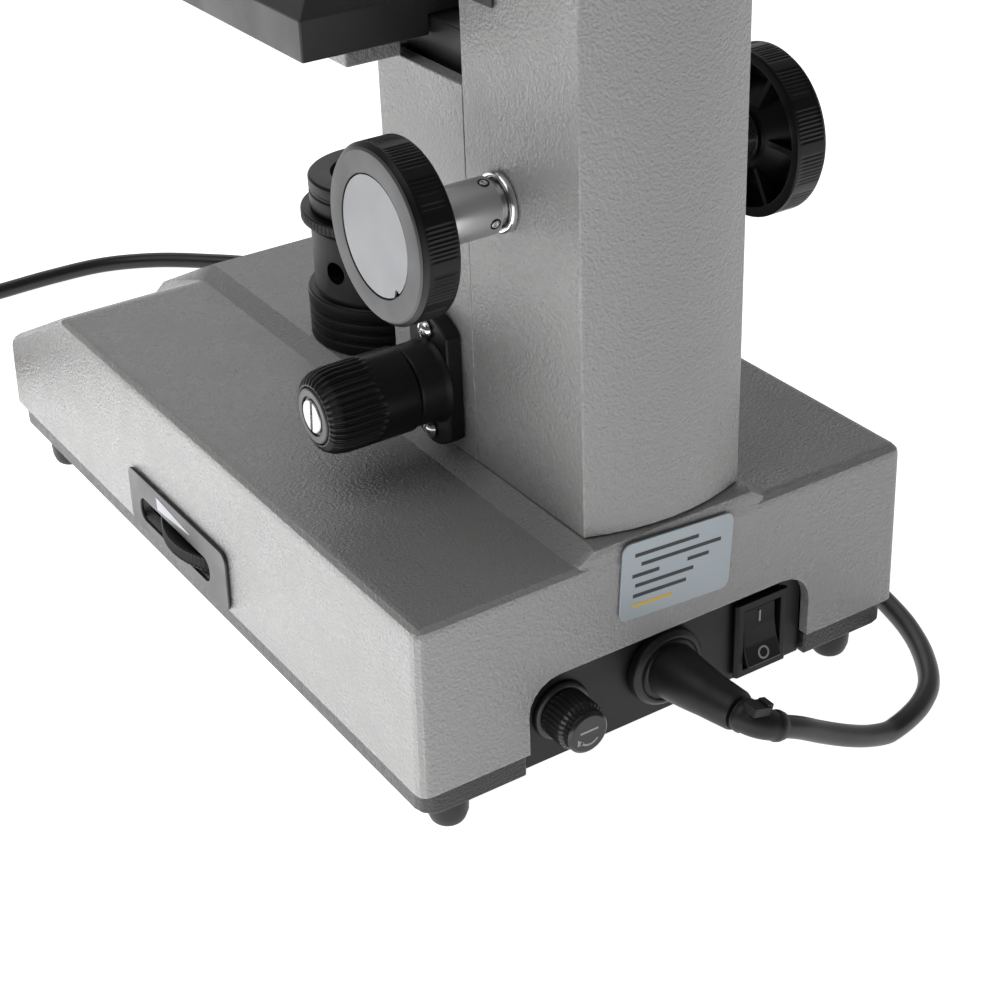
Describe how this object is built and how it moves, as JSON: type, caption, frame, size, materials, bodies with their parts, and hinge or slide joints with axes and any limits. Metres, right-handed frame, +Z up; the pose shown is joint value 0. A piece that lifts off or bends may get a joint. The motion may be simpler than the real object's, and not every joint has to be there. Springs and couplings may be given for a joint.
{
  "type": "microscope",
  "caption": "Upright laboratory microscope with a lit base, side focusing knobs, a focusing stage, a tilted nosepiece and a mains cord lying round it.",
  "frame": {"origin": "on the table under the middle of the base, so that Z is zero where the feet stand", "axes": "+Z up; -Y towards the stage side where the user sits, +Y towards the mains inlet; +X to the side with the dimmer wheel and the fine-focus knob"},
  "size_m": [0.2476, 0.4087, 0.3954],
  "materials": {
    "grey_casting": "light grey pebbled powder coat",
    "black_plate": "black textured powder coat",
    "black_anodised": "black anodised, satin",
    "black_plastic": "moulded, satin",
    "black_rubber": "soft, matte",
    "grey_plate": "satin dark grey",
    "blank_label": "satin silver-blue film",
    "circuit_board": "green laminate",
    "brass": "turned",
    "steel": "ground",
    "aluminium": "satin turned",
    "silver_inlay": "satin silver",
    "chrome": "polished",
    "lens": "clear",
    "led": "white board with a yellow emitter"
  },
  "bodies": {
    "stand": {"arm_casting": "grey_casting", "arm_cover": "grey_casting", "base_plate": "black_plate", "base_shell": "grey_casting", "coarse_ring_R": "chrome", "coarse_sleeve_L": "aluminium", "coarse_sleeve_R": "aluminium", "cord_boot": "black_rubber", "cord_coil": "black_rubber", "cord_gland": "black_rubber", "cord_keeper": "black_rubber", "cord_tie": "black_rubber", "cord_tube": "black_rubber", "dimmer_plate": "grey_plate", "dimmer_pot": "brass", "fine_flange": "black_plastic", "fine_screw_bottom": "chrome", "fine_screw_top": "chrome", "foot_front_L": "black_rubber", "foot_front_R": "black_rubber", "foot_rear_L": "black_rubber", "foot_rear_R": "black_rubber", "fuse_holder": "black_plastic", "label_plate": "blank_label", "lamp_collar": "black_anodised", "lamp_housing": "black_anodised", "lamp_lens": "lens", "lamp_top_ring": "black_anodised", "led_emitter": "led", "nose_base": "chrome", "plug_body": "black_rubber", "plug_pin_1": "brass", "plug_pin_2": "brass", "power_board": "circuit_board", "rear_panel": "black_anodised", "side_strip": "grey_plate", "switch_body": "black_plastic"},
    "fine_slide_block": {"fine_block": "steel"},
    "stage_unit": {"carriage": "black_anodised", "stage_bracket": "grey_casting", "stage_top": "black_anodised"},
    "diaphragm": {"diaphragm_disc": "black_anodised"},
    "clip_right": {"clip_R": "steel"},
    "clip_left": {"clip_L": "steel"},
    "coarse_knobs": {"coarse_shaft": "steel", "coarse_knob_L": "black_plastic", "coarse_knob_R": "black_plastic", "coarse_cap_L": "silver_inlay", "coarse_cap_R": "silver_inlay"},
    "fine_knob_unit": {"fine_knob": "black_plastic", "fine_knob_cap": "silver_inlay"},
    "nosepiece": {"turret": "chrome", "objective_high": "chrome", "objective_mid": "chrome", "objective_low": "chrome"},
    "viewing_head": {"head_body": "grey_casting"},
    "eyepiece_unit": {"eyepiece": "black_anodised"},
    "rocker": {"switch_rocker": "black_plastic"},
    "fuse_cap_unit": {"fuse_cap": "black_plastic"},
    "dimmer": {"dimmer_wheel": "black_plastic"}
  },
  "joints": [
    {"name": "fine_travel", "type": "slide", "parent": "stand", "child": "fine_slide_block", "axis": [0, 0, 1], "range_m": [-0.00089, 0.00089]},
    {"name": "stage_travel", "type": "slide", "parent": "fine_slide_block", "child": "stage_unit", "axis": [0, 0, 1], "range_m": [-0.0039, 0.0158]},
    {"name": "diaphragm_turn", "type": "hinge", "parent": "stage_unit", "child": "diaphragm", "pos_m": [0, -0.03, 0.165], "axis": [0, 0, 1], "continuous": true},
    {"name": "clip_right_swing", "type": "hinge", "parent": "stage_unit", "child": "clip_right", "pos_m": [0.037, 0.034, 0.188], "axis": [0, 0, 1], "range_deg": [-35, 20]},
    {"name": "clip_left_swing", "type": "hinge", "parent": "stage_unit", "child": "clip_left", "pos_m": [-0.037, 0.034, 0.188], "axis": [0, 0, 1], "range_deg": [-20, 35]},
    {"name": "coarse_focus", "type": "hinge", "parent": "stand", "child": "coarse_knobs", "pos_m": [0, 0.0858, 0.1433], "axis": [-1, 0, 0], "range_deg": [-32, 130]},
    {"name": "fine_focus", "type": "hinge", "parent": "stand", "child": "fine_knob_unit", "pos_m": [0.03, 0.057, 0.0879], "axis": [1, 0, 0], "range_deg": [-1070, 1070]},
    {"name": "turret_turn", "type": "hinge", "parent": "stand", "child": "nosepiece", "pos_m": [0, 0.00345, 0.26445], "axis": [0, 0.309, -0.9511], "continuous": true},
    {"name": "head_turn", "type": "hinge", "parent": "stand", "child": "viewing_head", "pos_m": [0, -0.012, 0.307], "axis": [0, 0, 1], "continuous": true},
    {"name": "eyepiece_turn", "type": "hinge", "parent": "viewing_head", "child": "eyepiece_unit", "pos_m": [0, -0.05301, 0.37141], "axis": [0, -0.7071, 0.7071], "continuous": true},
    {"name": "rocker_tip", "type": "hinge", "parent": "stand", "child": "rocker", "pos_m": [-0.029, 0.1193, 0.02355], "axis": [-1, 0, 0], "range_deg": [0, 17]},
    {"name": "fuse_cap_turn", "type": "hinge", "parent": "stand", "child": "fuse_cap_unit", "pos_m": [0.0323, 0.119, 0.025], "axis": [0, 1, 0], "range_deg": [0, 90]},
    {"name": "dimmer_turn", "type": "hinge", "parent": "stand", "child": "dimmer", "pos_m": [0.0474, -0.004, 0.026], "axis": [0, 0, 1], "range_deg": [-150, 150]}
  ],
  "couplings": [
    {"joint": "coarse_focus", "follows": "stage_travel", "rad_per_m": 142.86},
    {"joint": "fine_focus", "follows": "fine_travel", "rad_per_m": 20944}
  ]
}
